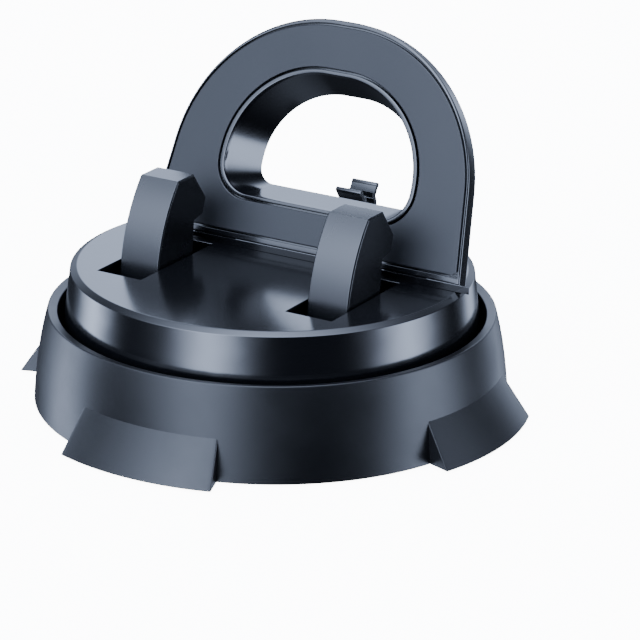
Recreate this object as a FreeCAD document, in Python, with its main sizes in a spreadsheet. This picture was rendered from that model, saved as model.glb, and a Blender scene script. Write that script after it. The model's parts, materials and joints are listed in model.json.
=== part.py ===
"""Dashboard phone mount: a base ring on four feet, a turntable, two sprung hooks and a leaning back plate.

Millimetres, +Z up. The origin is on the ground under the turntable's axis, the hooks are on the -Y side.
"""
import FreeCAD, Part
import math
import os

import Sketcher
from FreeCAD import Placement, Rotation, Vector

doc = FreeCAD.newDocument("phone_mount")
sheet = doc.addObject("Spreadsheet::Sheet", "Dimensions")

# ---------------------------------------------------------------------------------------------
# Driving dimensions. A text that starts with "=" is worked out from the rows above it.
# ---------------------------------------------------------------------------------------------
DIMENSIONS = [
    # base ring
    ("base_radius", "43", "ring, outer radius at the ground"),
    ("base_lift", "0.4", "gap between the ground and the ring"),
    ("ring_height", "17.4", "ring, height of the outer top edge"),
    ("ring_taper", "2.6", "how far the wall leans in by its top"),
    ("ring_bulge", "85", "radius of the wall's outward curve"),
    ("rim_width", "1.8", "width of the ring's top face"),
    ("rim_drop", "0.4", "how far the top face falls inwards"),
    ("ring_top_radius", "=base_radius - ring_taper", ""),
    ("ring_bore", "=ring_top_radius - rim_width", ""),
    ("rim_inner_height", "=ring_height - rim_drop", ""),
    ("floor_seat", "4.2", "underside of the ring's inner flange"),
    ("flange_top", "6.2", "top of the inner flange"),
    ("flange_bore", "=ring_bore - 5.6", ""),
    ("floor_recess", "=base_radius - 3", ""),
    # wedge feet
    ("foot_reach", "4.5", "how far a foot stands out of the ring at the ground"),
    ("foot_height", "8.3", "height where a foot's slope meets the wall"),
    ("foot_angle", "38", "width of a foot, as an angle about the axis"),
    ("foot_count", "4", ""),
    ("foot_radius", "=base_radius + foot_reach", ""),
    ("foot_root", "=base_radius - 1.9", "inner end of a foot, inside the wall"),
    ("foot_top_radius", "=base_radius - 0.85", ""),
    ("foot_pad_angle", "30", ""),
    ("foot_pad_inner", "=base_radius - 1.2", ""),
    ("foot_pad_outer", "=foot_radius - 1.5", ""),
    ("foot_pad_height", "1", "thickness of a rubber foot pad"),
    # floor plate, sole and spindle
    ("floor_bottom", "2.4", ""),
    ("floor_radius", "=floor_recess - 0.1", ""),
    ("sole_bottom", "0.2", ""),
    ("sole_radius", "=floor_recess - 0.6", ""),
    ("sole_edge", "0.6", "chamfer of the sole's lower edge"),
    ("sole_edge_radius", "=sole_radius - sole_edge", ""),
    ("sole_edge_height", "=sole_bottom + sole_edge", ""),
    ("spindle_radius", "6", ""),
    ("spindle_top", "10.4", ""),
    ("spindle_bore", "1.25", "hole for the spindle screw"),
    ("ring_screw_circle", "=ring_bore - 2.8", "radius of the circle of floor screws"),
    ("screw_shank", "1", ""),
    ("screw_head", "2", ""),
    ("screw_head_height", "0.9", ""),
    ("screw_tip_gap", "0.2", "from a floor screw's tip to the end of its hole"),
    ("recess_arm", "1.2", "cross recess of a screw, half length of an arm"),
    ("recess_half_width", "0.25", ""),
    ("recess_depth", "0.5", ""),
    ("overcut", "1", "how far a cut runs past a face"),
    ("glide_outer", "=flange_bore - 4", "glide ring"),
    ("glide_inner", "=glide_outer - 6", ""),
    ("glide_top", "6.4", ""),
    ("washer_radius", "8.5", ""),
    ("washer_thickness", "0.8", ""),
    ("spindle_head", "3", ""),
    ("spindle_head_height", "1.4", ""),
    # turntable
    ("deck_height", "25.4", "top face of the turntable"),
    ("turntable_gap", "1.3", "gap between turntable and ring"),
    ("turntable_radius", "=ring_bore - turntable_gap", ""),
    ("wall_thickness", "2.1", ""),
    ("deck_thickness", "2.2", ""),
    ("deck_edge_radius", "=turntable_radius - 2.2", "edge of the flat top face"),
    ("shoulder_radius", "=turntable_radius - 0.94", "lower edge of the chamfer"),
    ("shoulder_height", "=deck_height - 0.63", ""),
    ("flare_height", "=ring_height - 0.4", "where the flared wall turns straight"),
    ("cover_bottom", "6.5", "underside of the turntable's bottom cover"),
    ("cover_top", "8.5", ""),
    ("shell_bore", "=turntable_radius - wall_thickness", ""),
    ("shell_bore_top", "=shell_bore - 0.9", ""),
    ("deck_underside", "=deck_height - deck_thickness", ""),
    ("hub_bore", "=spindle_radius + 0.06", "running fit on the spindle"),
    ("hub_radius", "9", ""),
    ("hub_top", "=spindle_top - 0.1", ""),
    ("boss_radius", "2.4", "screw bosses under the deck"),
    ("boss_inset", "4.3", "screw bosses, from the shell's bore inwards"),
    ("boss_circle", "=shell_bore - boss_inset", ""),
    ("rear_boss_angle", "31.1", "rear bosses, degrees from the Y axis"),
    ("front_boss_angle", "15.1", ""),
    ("rear_boss_x", "=boss_circle * sin(rear_boss_angle)", ""),
    ("rear_boss_y", "=boss_circle * cos(rear_boss_angle)", ""),
    ("front_boss_x", "=boss_circle * sin(front_boss_angle)", ""),
    ("front_boss_y", "=boss_circle * cos(front_boss_angle)", ""),
    ("cover_screw_length", "6", ""),
    # hooks
    ("hook_offset", "19.57", "hook centre line from the middle"),
    ("hook_width", "8.2", ""),
    ("hook_edge", "0.25", "bevel along a hook's edges"),
    ("slot_width", "9.25", ""),
    ("slot_front", "20.25", "front end of a slot, towards -Y"),
    ("slot_rear", "3.4", "rear end of a slot, towards +Y"),
    ("slot_length", "=slot_front + slot_rear", ""),
    ("pivot_y", "6", "hook pivot, towards -Y"),
    ("pivot_drop", "0.45", "hook pivot, below the middle between cover and deck"),
    ("pivot_z", "=(deck_height + cover_top) / 2 - pivot_drop", ""),
    ("shaft_radius", "1.5", ""),
    ("hub_boss", "=shaft_radius + 1.7", "radius of a hook's pivot boss"),
    ("hook_bow", "30", "radius of a hook's front face"),
    ("hook_tail_y", "14.15", "lower end of the front face"),
    ("hook_tail_z", "=deck_height - 4.4", ""),
    ("hook_top_front_y", "7.1", ""),
    ("hook_top_back_y", "1.86", ""),
    ("hook_top_z", "=deck_height + 14.55", ""),
    ("nose_y", "2.05", "tip of the nose, towards +Y"),
    ("nose_z", "=deck_height + 9.3", ""),
    ("chin_y", "1", ""),
    ("chin_z", "=deck_height + 6.3", ""),
    ("throat_y", "1.85", "inner face under the nose, towards -Y"),
    ("throat_z", "=deck_height + 5.7", ""),
    ("back_y", "2.3", "inner face at the deck, towards -Y"),
    ("boss_front_y", "=pivot_y + hub_boss", ""),
    ("boss_back_y", "=pivot_y - hub_boss", ""),
    ("cheek_thickness", "2", "shaft bearings, under the deck"),
    ("cheek_gap", "=slot_width / 2 + 1.7", "from a hook's centre line to a bearing's"),
    ("bearing_wall", "1.6", "bearing, below the shaft"),
    ("cheek_reach", "=shaft_radius + 1.8", "half length of a bearing"),
    ("cheek_front_y", "=pivot_y + cheek_reach", ""),
    ("cheek_back_y", "=pivot_y - cheek_reach", ""),
    ("cheek_bottom", "=pivot_z - shaft_radius - bearing_wall", ""),
    ("rib_root", "0.4", "how far a rib starts inside its plate"),
    ("cheek_root", "=deck_underside + rib_root", ""),
    ("notch_front_y", "=pivot_y + shaft_radius", ""),
    ("notch_back_y", "=pivot_y - shaft_radius", ""),
    ("post_top", "=pivot_z - shaft_radius - 0.1", "posts that keep the shaft in its notches"),
    ("post_depth", "2.6", ""),
    ("clip_radius", "=shaft_radius + 1.4", "retaining clips on the shaft"),
    ("clip_thickness", "0.6", ""),
    ("clip_clearance", "0.205", "from a bearing to a retaining clip"),
    ("clip_start", "=hook_offset + cheek_gap + cheek_thickness / 2 + clip_clearance", ""),
    ("shaft_overhang", "0.8", "shaft end beyond its clip"),
    ("shaft_half_length", "=clip_start + clip_thickness + shaft_overhang", ""),
    ("spring_coil", "=shaft_radius + 1.2", "torsion spring, mean coil radius"),
    ("spring_wire", "0.4", "wire radius"),
    ("spring_pitch", "1", ""),
    ("spring_turns", "7", ""),
    ("spring_gap", "0.8", "from a coil's outer end to the bearing"),
    ("spring_end", "=hook_offset - cheek_gap - cheek_thickness / 2 - spring_gap", ""),
    ("spring_length", "=spring_pitch * spring_turns", ""),
    # back plate
    ("plate_lean", "21", "degrees from upright"),
    ("plate_shift", "3.05", "the plate stands this far to the +X side of the axis"),
    ("plate_foot_y", "4.45", "front lower edge of the plate"),
    ("rail_height", "1.36", ""),
    ("plate_foot_z", "=deck_height + rail_height", ""),
    ("plate_height", "42.4", "along the plate"),
    ("plate_half_width", "32.46", "at the lower edge"),
    ("plate_side_lean", "6.4", "degrees the sides lean in"),
    ("plate_corner", "29.5", "radius of the upper corners"),
    ("frame_thickness", "1.7", ""),
    ("back_thickness", "1.7", ""),
    ("plate_thickness", "=frame_thickness + back_thickness", ""),
    ("frame_edge", "0.35", "bevel round the front of the frame"),
    ("back_edge", "0.9", "rounding of the back cover's edge"),
    ("pad_side", "0.8", "from the frame's side to the pad"),
    ("pad_top_margin", "1.2", ""),
    ("pad_bottom", "1.4", ""),
    ("pad_depth", "0.9", ""),
    ("pad_groove", "0.3", "shadow gap round the pad"),
    ("pad_half_width", "=plate_half_width - pad_side", ""),
    ("pad_height", "=plate_height - pad_top_margin", ""),
    ("pad_corner", "=plate_corner - 1.25", ""),
    ("seat_half_width", "=pad_half_width + pad_groove", ""),
    ("seat_bottom", "=pad_bottom - pad_groove", ""),
    ("seat_height", "=pad_height + pad_groove", ""),
    ("seat_corner", "=pad_corner + pad_groove", ""),
    ("opening_half_width", "20.6", "hole in the pad"),
    ("opening_bottom", "7.3", ""),
    ("opening_top", "=plate_height - 8.9", ""),
    ("opening_lower_corner", "7", ""),
    ("opening_upper_corner", "18.5", ""),
    ("collar_gap", "0.35", "shadow gap round the collar"),
    ("collar_outer", "=opening_half_width - collar_gap", ""),
    ("collar_outer_bottom", "=opening_bottom + collar_gap", ""),
    ("collar_outer_top", "=opening_top - collar_gap", ""),
    ("collar_outer_lower", "=opening_lower_corner - collar_gap", ""),
    ("collar_outer_upper", "=opening_upper_corner - collar_gap", ""),
    ("collar_wall", "0.9", ""),
    ("collar_inner", "=collar_outer - collar_wall", ""),
    ("collar_inner_bottom", "=collar_outer_bottom + collar_wall * 0.75", ""),
    ("collar_inner_top", "=collar_outer_top - collar_wall * 0.85", ""),
    ("collar_inner_lower", "=collar_outer_lower - collar_wall * 0.8", ""),
    ("collar_inner_upper", "=collar_outer_upper - collar_wall * 0.85", ""),
    ("collar_taper", "2.85", "how far the funnel closes in"),
    ("collar_depth", "9", ""),
    ("throat_inner", "=collar_inner - collar_taper", ""),
    ("throat_inner_bottom", "=collar_inner_bottom + collar_taper", ""),
    ("throat_inner_top", "=collar_inner_top - collar_taper", ""),
    ("throat_inner_lower", "=collar_inner_lower - collar_taper", ""),
    ("throat_inner_upper", "=collar_inner_upper - collar_taper", ""),
    ("throat_wall", "1.1", ""),
    ("throat_outer", "=throat_inner + throat_wall", ""),
    ("throat_outer_bottom", "=throat_inner_bottom - throat_wall", ""),
    ("throat_outer_top", "=throat_inner_top + throat_wall", ""),
    ("throat_outer_lower", "=throat_inner_lower + throat_wall", ""),
    ("throat_outer_upper", "=throat_inner_upper + throat_wall", ""),
    # plate hinge, in the plate's own directions: down along it and back from its front face
    ("hinge_down", "5.08", ""),
    ("hinge_back", "6.29", ""),
    ("hinge_y", "=plate_foot_y - hinge_down * sin(plate_lean) + hinge_back * cos(plate_lean)", ""),
    ("hinge_z", "=plate_foot_z - hinge_down * cos(plate_lean) - hinge_back * sin(plate_lean)", ""),
    ("hinge_offset", "20", "hinge arms from the plate's middle"),
    ("arm_width", "7", ""),
    ("arm_root", "2", "how far up the plate an arm starts"),
    ("arm_front_down", "=hinge_down + 1.1", ""),
    ("arm_front_back", "=hinge_back - 2.7", ""),
    ("arm_rear_down", "=hinge_down - 2.2", ""),
    ("arm_rear_back", "=hinge_back + 1.9", ""),
    ("knuckle_radius", "3", ""),
    ("pin_radius", "1.5", ""),
    ("knuckle_bore", "=pin_radius + 0.05", "running fit on the pin"),
    ("lug_thickness", "2", ""),
    ("lug_gap", "0.6", "room for a friction washer beside a hinge arm"),
    ("lug_reach", "3.1", ""),
    ("pin_half_length", "=arm_width / 2 + lug_gap + lug_thickness", ""),
    ("lug_front_y", "=hinge_y - lug_reach", ""),
    ("lug_back_y", "=hinge_y + lug_reach", ""),
    ("lug_bottom", "=hinge_z - lug_reach", ""),
    ("window_front", "5.7", ""),
    ("window_length", "7.2", ""),
    ("window_gap", "0.4", "room on each side of a hinge arm"),
    ("friction_washer_radius", "=pin_radius + 1.2", ""),
    ("washer_clearance", "0.1", ""),
    # rail
    ("rail_overhang", "2.08", "rail's end beyond the plate's side"),
    ("rail_half_length", "=plate_half_width + rail_overhang", ""),
    ("rail_depth", "1.05", ""),
    ("rail_end_cut", "1.5", "how far the rail's ends run in"),
    ("rail_gap", "0.06", "shadow line under the plate"),
    ("rail_front_top", "=rail_height - rail_gap", ""),
    ("rail_back_top", "=rail_front_top - rail_depth * tan(plate_lean)", ""),
    ("rail_length", "=2 * rail_half_length", ""),
    ("rail_end_start", "=rail_half_length - rail_end_cut", ""),
    # plate screws
    ("plate_screw_shank", "0.8", ""),
    ("plate_screw_head", "1.6", ""),
    ("plate_screw_rise", "0.6", "height of a head on the back cover"),
    ("plate_slot_width", "0.4", ""),
    ("plate_slot_depth", "0.3", ""),
    ("low_screw_x", "=plate_half_width - 4.06", ""),
    ("low_screw_y", "=opening_bottom - 3.3", ""),
    ("high_screw_x", "=plate_half_width - 7.86", ""),
    ("high_screw_y", "23", ""),
    # cable clip
    ("cable_clip_inset", "5.1", "from the rear edge of the flat top inwards"),
    ("cable_clip_y", "=deck_edge_radius - cable_clip_inset", ""),
    ("cable_clip_width", "5.3", ""),
    ("cable_clip_outer", "2.8", ""),
    ("cable_clip_inner", "2", ""),
    ("cable_clip_centre", "=deck_height + cable_clip_outer", ""),
    ("cable_clip_mouth", "2.4", "gap at the neck"),
    ("cable_clip_lip", "2.7", "length of a flared lip"),
    ("cable_clip_flare", "32", "degrees"),
    ("cable_clip_bead", "0.5", ""),
    ("cable_clip_peg", "1.5", ""),
    ("cable_clip_overlap", "0.2", "how far the peg and the lips run into the tube"),
]

for row, (alias, content, note) in enumerate(DIMENSIONS, start=1):
    sheet.set(f"A{row}", alias)
    sheet.set(f"B{row}", content)
    sheet.setAlias(f"B{row}", alias)
    sheet.set(f"C{row}", note)
doc.recompute()


def size(term):
    """Number behind a sheet name; "0" is zero and a leading minus sign turns the number round."""
    if term == "0":
        return 0.0
    if term.startswith("-"):
        return -float(sheet.get(term[1:]))
    return float(sheet.get(term))


def bind(thing, prop, expression):
    """Bind a property to an expression in which $name stands for a cell of the sheet."""
    thing.setExpression(prop, expression.replace("$", "Dimensions."))


# ---------------------------------------------------------------------------------------------
# Sketches
# ---------------------------------------------------------------------------------------------
START, END, CENTRE = 1, 2, 3
H_AXIS, V_AXIS = -1, -2
ROOT = (-1, 1)
HALF_ROUND = "half round"
TOUCH = 0.01
FIRST_GUESS = 1  # how far the sides lean in before the sketch is solved


def new_sketch(body, name, plane, offset=None):
    sketch = body.newObject("Sketcher::SketchObject", name)
    for feature in body.Origin.OriginFeatures:
        if feature.Role == plane:
            sketch.AttachmentSupport = [(feature, "")]
    sketch.MapMode = "FlatFace"
    if offset:
        bind(sketch, "AttachmentOffset.Base.z", offset)
    return sketch


def dimension(sketch, kind, places, term):
    """Add one dimension and bind it to its cell."""
    name = term.lstrip("-")
    index = sketch.addConstraint(Sketcher.Constraint(kind, *places, size(name)))
    bind(sketch, f"Constraints[{index}]", f"${name}")


def place_point(sketch, edge, end, x, y):
    """Fix the end of an edge at sheet names x and y from the sketch's origin."""
    for kind, axis, term in (("DistanceX", V_AXIS, x), ("DistanceY", H_AXIS, y)):
        if term == "0":
            sketch.addConstraint(Sketcher.Constraint("PointOnObject", edge, end, axis))
        elif term.startswith("-"):
            dimension(sketch, kind, (edge, end, *ROOT), term)
        else:
            dimension(sketch, kind, (*ROOT, edge, end), term)


def arc_between(first, last, radius, left):
    """Arc from first to last whose centre is on the left or the right of the way there."""
    middle = (first + last) * 0.5
    run = last - first
    side = Vector(-run.y, run.x, 0).normalize() * (1 if left else -1)
    depth = max(radius ** 2 - (run.Length / 2) ** 2, 0) ** 0.5
    centre = middle + side * depth
    crown = centre - side * radius
    return Part.Arc(first, crown, last) if left else Part.Arc(last, crown, first)


def outline(body, name, plane, points, arcs=None, offset=None):
    """Closed outline through points named in the sheet.

    arcs maps an edge's number to (radius, centre on left); the radius HALF_ROUND closes a level chord.
    """
    arcs = arcs or {}
    sketch = new_sketch(body, name, plane, offset)
    corners = [Vector(size(x), size(y), 0) for x, y in points]
    ends = []
    for edge, corner in enumerate(corners):
        following = corners[(edge + 1) % len(corners)]
        if edge in arcs:
            radius, left = arcs[edge]
            half_chord = (following - corner).Length / 2
            length = half_chord if radius == HALF_ROUND else size(radius)
            sketch.addGeometry(arc_between(corner, following, length, left))
            ends.append((START, END) if left else (END, START))
        else:
            sketch.addGeometry(Part.LineSegment(corner, following))
            ends.append((START, END))
    for edge, (x, y) in enumerate(points):
        following = (edge + 1) % len(points)
        joint = (edge, ends[edge][1], following, ends[following][0])
        sketch.addConstraint(Sketcher.Constraint("Coincident", *joint))
        place_point(sketch, edge, ends[edge][0], x, y)
        if edge in arcs and arcs[edge][0] == HALF_ROUND:
            dimension(sketch, "DistanceY", (*ROOT, edge, CENTRE), y)
        elif edge in arcs:
            dimension(sketch, "Radius", (edge,), arcs[edge][0])
    return sketch


def circle(body, name, plane, x, y, radius, offset=None):
    sketch = new_sketch(body, name, plane, offset)
    sketch.addGeometry(Part.Circle(Vector(size(x), size(y), 0), Vector(0, 0, 1), size(radius)))
    place_point(sketch, 0, CENTRE, x, y)
    dimension(sketch, "Radius", (0,), radius)
    return sketch


def quarter_arc(x, y, radius, start):
    """Quarter arc about (x, y) that starts at the given angle in degrees."""
    round_edge = Part.Circle(Vector(x, y, 0), Vector(0, 0, 1), radius)
    return Part.ArcOfCircle(round_edge, math.radians(start), math.radians(start + 90))


def arch(body, name, half_width, bottom, top, corner, offset=None):
    """Plate outline: a straight foot, sides that lean in and two large upper corners."""
    w, low, high, r = size(half_width), size(bottom), size(top), size(corner)
    upper = w - FIRST_GUESS
    sketch = new_sketch(body, name, "XY_Plane", offset)
    for edge in (
        Part.LineSegment(Vector(-w, low, 0), Vector(w, low, 0)),
        Part.LineSegment(Vector(w, low, 0), Vector(upper, high - r, 0)),
        quarter_arc(upper - r, high - r, r, 0),
        Part.LineSegment(Vector(upper - r, high, 0), Vector(r - upper, high, 0)),
        quarter_arc(r - upper, high - r, r, 90),
        Part.LineSegment(Vector(-upper, high - r, 0), Vector(-w, low, 0)),
    ):
        sketch.addGeometry(edge)
    foot, right, right_arc, crown, left_arc, left = range(6)
    for constraint in (
        ("Coincident", foot, END, right, START),
        ("Coincident", left, END, foot, START),
        ("Tangent", right, END, right_arc, START),
        ("Tangent", right_arc, END, crown, START),
        ("Tangent", crown, END, left_arc, START),
        ("Tangent", left_arc, END, left, START),
        ("Symmetric", foot, START, foot, END, V_AXIS),
        ("Symmetric", crown, START, crown, END, V_AXIS),
        ("Equal", right_arc, left_arc),
    ):
        sketch.addConstraint(Sketcher.Constraint(*constraint))
    place_point(sketch, foot, END, half_width, bottom)
    dimension(sketch, "DistanceY", (*ROOT, crown, START), top)
    dimension(sketch, "Radius", (right_arc,), corner)
    lean = math.radians(90 + size("plate_side_lean"))
    index = sketch.addConstraint(Sketcher.Constraint("Angle", right, lean))
    bind(sketch, f"Constraints[{index}]", "90 deg + $plate_side_lean * 1 deg")
    return sketch


def porthole(body, name, half_width, bottom, top, lower, upper, offset=None):
    """Outline of the hole in the plate: straight sides, small lower corners, large upper ones."""
    w, low, high, r, big = (size(term) for term in (half_width, bottom, top, lower, upper))
    sketch = new_sketch(body, name, "XY_Plane", offset)
    for edge in (
        Part.LineSegment(Vector(r - w, low, 0), Vector(w - r, low, 0)),
        quarter_arc(w - r, low + r, r, 270),
        Part.LineSegment(Vector(w, low + r, 0), Vector(w, high - big, 0)),
        quarter_arc(w - big, high - big, big, 0),
        Part.LineSegment(Vector(w - big, high, 0), Vector(big - w, high, 0)),
        quarter_arc(big - w, high - big, big, 90),
        Part.LineSegment(Vector(-w, high - big, 0), Vector(-w, low + r, 0)),
        quarter_arc(r - w, low + r, r, 180),
    ):
        sketch.addGeometry(edge)
    edges = range(8)
    for edge in edges:
        sketch.addConstraint(Sketcher.Constraint("Tangent", edge, END, (edge + 1) % len(edges), START))
    for constraint in (
        ("Horizontal", 0), ("Vertical", 2), ("Horizontal", 4), ("Vertical", 6),
        ("Equal", 1, 7), ("Equal", 3, 5),
    ):
        sketch.addConstraint(Sketcher.Constraint(*constraint))
    dimension(sketch, "DistanceX", (*ROOT, 2, START), half_width)
    dimension(sketch, "DistanceX", (6, START, *ROOT), half_width)
    dimension(sketch, "DistanceY", (*ROOT, 0, START), bottom)
    dimension(sketch, "DistanceY", (*ROOT, 4, START), top)
    dimension(sketch, "Radius", (1,), lower)
    dimension(sketch, "Radius", (3,), upper)
    return sketch


# ---------------------------------------------------------------------------------------------
# Features and bodies
# ---------------------------------------------------------------------------------------------
def new_body(label):
    body = doc.addObject("PartDesign::Body", label)
    body.Label = label
    return body


def turned(body, name, points, arcs=None, angle="360", cut=False):
    """Revolve a section about the body's Z axis, evenly to both sides of its X axis."""
    section = outline(body, f"{name}_section", "XZ_Plane", points, arcs)
    kind = "PartDesign::Groove" if cut else "PartDesign::Revolution"
    feature = body.newObject(kind, name)
    feature.Profile = section
    feature.ReferenceAxis = (section, ["V_Axis"])
    feature.Midplane = True
    bind(feature, "Angle", angle)
    return feature


def pushed(body, name, sketch, length, way="One side", cut=False, back=False):
    """Pad or pocket a sketch by a length given as an expression."""
    kind = "PartDesign::Pocket" if cut else "PartDesign::Pad"
    feature = body.newObject(kind, name)
    feature.Profile = sketch
    if way == "Symmetric":
        feature.Midplane = True
    feature.Reversed = back
    bind(feature, "Length", length)
    return feature


def axis_of(body, role):
    for feature in body.Origin.OriginFeatures:
        if feature.Role == role:
            return feature
    return None


def ring_of(body, name, features, count):
    """Repeat features evenly about the body's Z axis."""
    pattern = body.newObject("PartDesign::PolarPattern", name)
    pattern.Originals = features
    pattern.Axis = (axis_of(body, "Z_Axis"), [""])
    pattern.Angle = 360
    bind(pattern, "Occurrences", count)
    body.Tip = pattern
    return pattern


def mirrored(body, name, features):
    """Repeat features on the other side of the body's YZ plane."""
    pattern = body.newObject("PartDesign::Mirrored", name)
    pattern.Originals = features
    pattern.MirrorPlane = (axis_of(body, "YZ_Plane"), [""])
    body.Tip = pattern
    return pattern


def cylinder(name, radius, height, x="0", y="0", z="0", axis=Vector(0, 0, 1)):
    """Round bar from the point (x, y, z), all given as expressions, along an axis."""
    bar = doc.addObject("Part::Cylinder", name)
    bar.Placement = Placement(Vector(), Rotation(Vector(0, 0, 1), axis))
    for prop, expression in (
        ("Radius", radius), ("Height", height),
        ("Placement.Base.x", x), ("Placement.Base.y", y), ("Placement.Base.z", z),
    ):
        bind(bar, prop, expression)
    return bar


def block(name, lengths, corner, turn=None):
    """Box with its three lengths and its lowest corner given as expressions."""
    box = doc.addObject("Part::Box", name)
    if turn:
        box.Placement = Placement(Vector(), turn)
    for prop, expression in zip(("Length", "Width", "Height"), lengths):
        bind(box, prop, expression)
    for prop, expression in zip(("x", "y", "z"), corner):
        bind(box, f"Placement.Base.{prop}", expression)
    return box


def fused(name, shapes):
    whole = doc.addObject("Part::MultiFuse", name)
    whole.Shapes = shapes
    return whole


def cut_away(name, base, tool):
    rest = doc.addObject("Part::Cut", name)
    rest.Base = base
    rest.Tool = tool
    return rest


def group_of(label, members):
    """Several separate solids that share one node."""
    group = doc.addObject("Part::Compound", label)
    group.Links = members
    group.Label = label
    return group


UP = Vector(0, 0, 1)
DOWN = Vector(0, 0, -1)
SIDEWAYS = Vector(1, 0, 0)
RECESS = ("$recess_arm", "$recess_half_width")


def cross_screw(name, x, y, head_base, length, axis=UP, shank="$screw_shank", head="$screw_head",
                head_height="$screw_head_height"):
    """Screw with a cross recess. Its shank starts at head_base and runs along the axis."""
    sign = "-" if axis.z > 0 else "+"
    shaft = cylinder(f"{name}_shank", shank, length, x, y, head_base, axis)
    knob = cylinder(f"{name}_head", head, head_height, x, y, head_base, axis * -1)
    recess = []
    for arm, (along_x, along_y) in enumerate((RECESS, RECESS[::-1])):
        low = f"{head_base} {sign} {head_height}" + ("" if axis.z > 0 else " - $recess_depth")
        recess.append(block(
            f"{name}_slot{arm}", (f"2 * {along_x}", f"2 * {along_y}", "$recess_depth"),
            (f"{x} - {along_x}", f"{y} - {along_y}", low)))
    return cut_away(name, fused(f"{name}_blank", [shaft, knob]), fused(f"{name}_cross", recess))


NODES = []


def finish(thing):
    """Count a finished sub-part as a node."""
    NODES.append(thing)
    return thing


# ---------------------------------------------------------------------------------------------
# Base
# ---------------------------------------------------------------------------------------------
def base_ring():
    """Ring wall with an inner flange and four wedge feet, one moulding."""
    body = new_body("base_ring")
    turned(body, "ring_wall", [
        ("base_radius", "base_lift"), ("ring_top_radius", "ring_height"),
        ("ring_bore", "rim_inner_height"), ("ring_bore", "flange_top"),
        ("flange_bore", "flange_top"), ("flange_bore", "floor_seat"),
        ("floor_recess", "floor_seat"), ("floor_recess", "base_lift"),
    ], arcs={0: ("ring_bulge", True)})
    foot = turned(body, "foot", [
        ("foot_root", "base_lift"), ("foot_radius", "base_lift"),
        ("foot_top_radius", "foot_height"), ("foot_root", "foot_height"),
    ], angle="$foot_angle")
    ring_of(body, "feet", [foot], "$foot_count")
    seat = turned(body, "pad_seat", [
        ("foot_pad_inner", "base_lift"), ("foot_pad_outer", "base_lift"),
        ("foot_pad_outer", "foot_pad_height"), ("foot_pad_inner", "foot_pad_height"),
    ], angle="$foot_pad_angle", cut=True)
    ring_of(body, "pad_seats", [seat], "$foot_count")
    hole = circle(body, "screw_hole_place", "XY_Plane", "ring_screw_circle", "0", "screw_shank",
                  offset="$flange_top")
    bore = pushed(body, "screw_hole", hole, "$flange_top - $floor_seat + $overcut", cut=True)
    ring_of(body, "screw_holes", [bore], "$foot_count")
    return finish(body)


def foot_pads():
    """One rubber pad under each foot."""
    for index, side in enumerate(("right", "rear", "left", "front")):
        body = new_body(f"foot_pad_{side}")
        turned(body, f"pad_{side}", [
            ("foot_pad_inner", "0"), ("foot_pad_outer", "0"),
            ("foot_pad_outer", "foot_pad_height"), ("foot_pad_inner", "foot_pad_height"),
        ], angle="$foot_pad_angle")
        body.Placement = Placement(Vector(), Rotation(UP, 90 * index))
        finish(body)


def base_floor():
    """Bottom plate with the hollow spindle that the turntable turns on."""
    body = new_body("base_floor")
    turned(body, "floor_plate", [
        ("spindle_bore", "floor_bottom"), ("floor_radius", "floor_bottom"),
        ("floor_radius", "floor_seat"), ("spindle_radius", "floor_seat"),
        ("spindle_radius", "spindle_top"), ("spindle_bore", "spindle_top"),
    ])
    seat = circle(body, "head_seat_place", "XY_Plane", "ring_screw_circle", "0", "screw_head",
                  offset="$floor_bottom + $screw_head_height")
    head = pushed(body, "head_seat", seat, "$screw_head_height + $overcut", cut=True)
    hole = circle(body, "floor_hole_place", "XY_Plane", "ring_screw_circle", "0", "screw_shank",
                  offset="$floor_seat")
    shank = pushed(body, "floor_hole", hole, "$floor_seat - $floor_bottom + $overcut", cut=True)
    ring_of(body, "floor_holes", [head, shank], "$foot_count")
    return finish(body)


def base_trim():
    """Sole, glide ring, and the washer and screw that hold the turntable down."""
    sole = new_body("sole_pad")
    turned(sole, "sole", [
        ("0", "sole_bottom"), ("sole_edge_radius", "sole_bottom"),
        ("sole_radius", "sole_edge_height"), ("sole_radius", "floor_bottom"), ("0", "floor_bottom"),
    ])
    finish(sole)
    glide = new_body("glide_ring")
    turned(glide, "glide", [
        ("glide_inner", "floor_seat"), ("glide_outer", "floor_seat"),
        ("glide_outer", "glide_top"), ("glide_inner", "glide_top"),
    ])
    finish(glide)
    washer = cut_away(
        "spindle_washer",
        cylinder("washer_disc", "$washer_radius", "$washer_thickness", z="$spindle_top"),
        cylinder("washer_hole", "$spindle_bore", "$washer_thickness", z="$spindle_top"))
    finish(washer)
    finish(cross_screw(
        "spindle_screw", "0", "0", "$spindle_top + $washer_thickness", "$spindle_top - $floor_seat",
        DOWN, "$spindle_bore", "$spindle_head", "$spindle_head_height"))
    screws = []
    place = ("$ring_screw_circle", "0", "-$ring_screw_circle", "0")
    for index in range(len(place)):
        screws.append(cross_screw(
            f"base_screw{index}", place[index], place[index - 1], "$floor_bottom + $screw_head_height",
            "$flange_top - $floor_bottom - $screw_head_height - $screw_tip_gap"))
    finish(group_of("base_screws", screws))


# ---------------------------------------------------------------------------------------------
# Turntable
# ---------------------------------------------------------------------------------------------
BOSSES = [("rear_boss_x", "rear_boss_y"), ("front_boss_x", "-front_boss_y")]
SIDES = {"left": -1, "right": 1}


def lug_places():
    """Offsets of the hinge lugs along X: one on each side of both hinge arms."""
    places = {}
    for side, sign in SIDES.items():
        for end, step in (("inner", -1), ("outer", 1)):
            arm = f"$plate_shift + {sign} * $hinge_offset"
            places[f"{side}_{end}"] = f"{arm} + {step} * ($arm_width + $lug_thickness + 2 * $lug_gap) / 2"
    return places


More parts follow.
